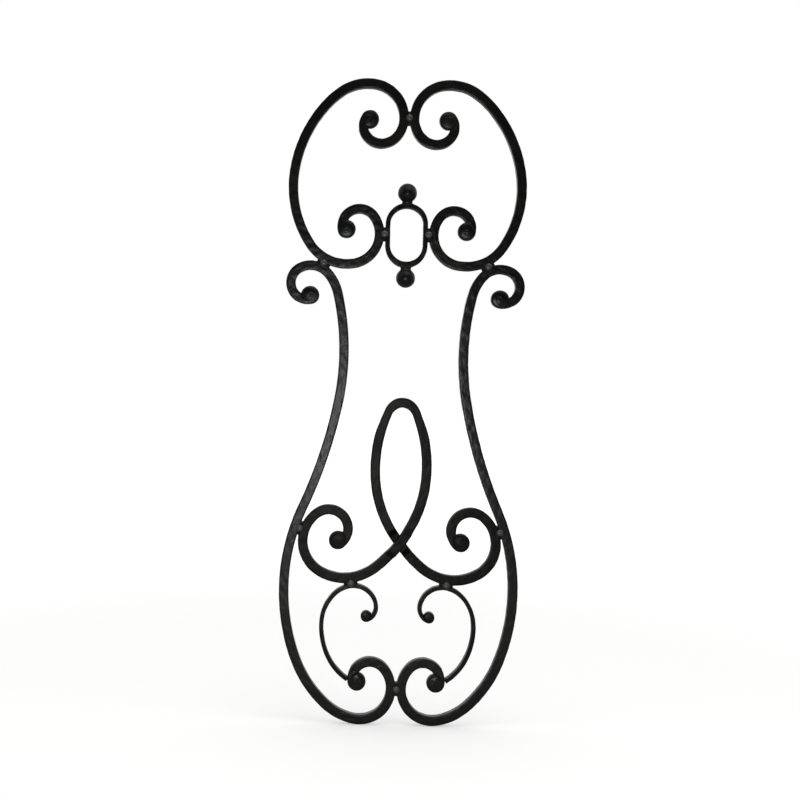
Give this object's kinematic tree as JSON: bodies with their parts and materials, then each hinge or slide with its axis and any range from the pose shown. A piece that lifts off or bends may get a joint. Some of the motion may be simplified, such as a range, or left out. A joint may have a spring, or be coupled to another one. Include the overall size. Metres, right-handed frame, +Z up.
{
  "type": "forged scroll panel",
  "caption": "Open forged panel of bent square-bar scrolls round an oval link, with a ribbon loop that crosses itself over two lobes.",
  "frame": {"origin": "on the flat back of the lowest joint, where the two lower scrolls meet on the middle line", "axes": "+Z up along the panel's length, +X to the right seen from the front, -Y towards the front"},
  "size_m": [0.3074, 0.025, 0.8321],
  "materials": {
    "forged_bar": "black satin over forged steel, lightly worn",
    "flat_bar": "black satin over forged steel, lightly worn",
    "ball_steel": "black satin, brown where rubbed",
    "weld_metal": "black satin over weld metal",
    "stud_steel": "glossy worn domes"
  },
  "bodies": {
    "root": {"upper_scroll_left": "forged_bar", "upper_scroll_right": "forged_bar", "side_scroll_left": "forged_bar", "side_scroll_right": "forged_bar", "ribbon_loop": "forged_bar", "small_scroll_left": "flat_bar", "small_scroll_right": "flat_bar", "oval_link": "flat_bar", "top_ball": "ball_steel", "bottom_ball": "ball_steel", "top_weld": "weld_metal", "bottom_weld": "weld_metal", "oval_weld_left": "weld_metal", "oval_weld_right": "weld_metal", "shoulder_weld_left": "weld_metal", "shoulder_weld_right": "weld_metal", "lobe_weld_left": "weld_metal", "lobe_weld_right": "weld_metal", "small_weld_left": "weld_metal", "small_weld_right": "weld_metal", "top_stud": "stud_steel", "bottom_stud": "stud_steel", "oval_stud_left": "stud_steel", "oval_stud_right": "stud_steel", "shoulder_stud_left": "stud_steel", "shoulder_stud_right": "stud_steel", "lobe_stud_left": "stud_steel", "lobe_stud_right": "stud_steel", "small_stud_left": "stud_steel", "small_stud_right": "stud_steel"}
  },
  "joints": []
}
